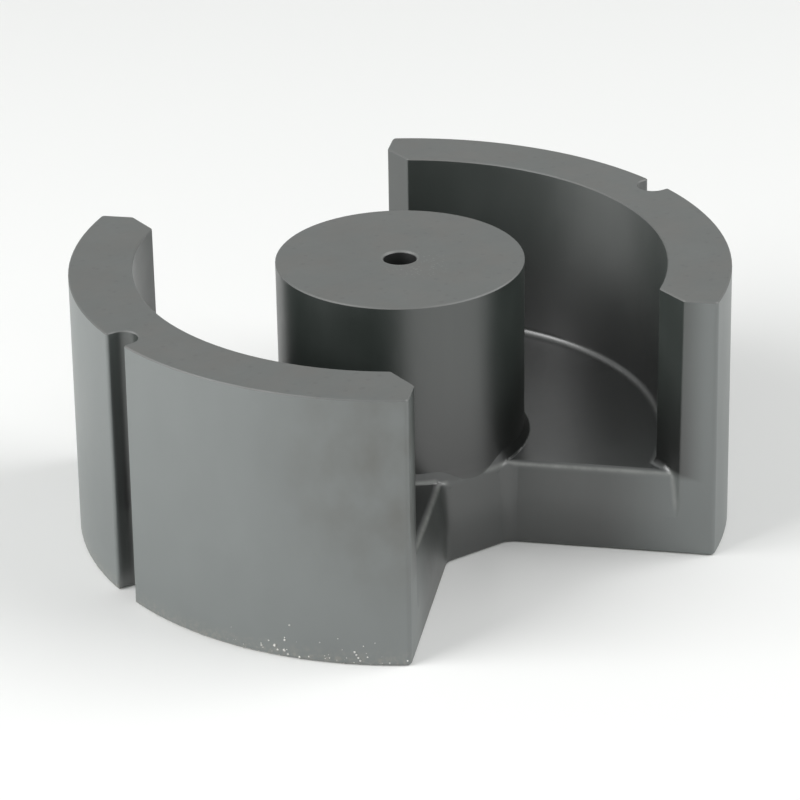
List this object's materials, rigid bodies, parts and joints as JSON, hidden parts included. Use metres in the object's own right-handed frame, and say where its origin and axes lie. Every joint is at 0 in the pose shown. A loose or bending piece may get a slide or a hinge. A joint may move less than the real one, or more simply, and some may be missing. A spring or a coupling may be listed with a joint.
{
  "type": "ferrite core half",
  "caption": "Round power ferrite core half: a bored centre post between curved outer walls, with angled lead-out cut-outs and clip grooves.",
  "frame": {"origin": "centre of the flat base, on the axis of the bore", "axes": "+Z along the bore axis, from the flat base towards the mating faces; +X through the clip grooves in the two curved walls; the lead-out cut-outs open on -Y and +Y"},
  "size_m": [0.1116, 0.0924, 0.0465],
  "materials": {
    "ferrite": "dark grey sintered ferrite, satin as fired, ground matte on the mating faces"
  },
  "bodies": {
    "root": {"core_half": "ferrite"}
  },
  "joints": []
}
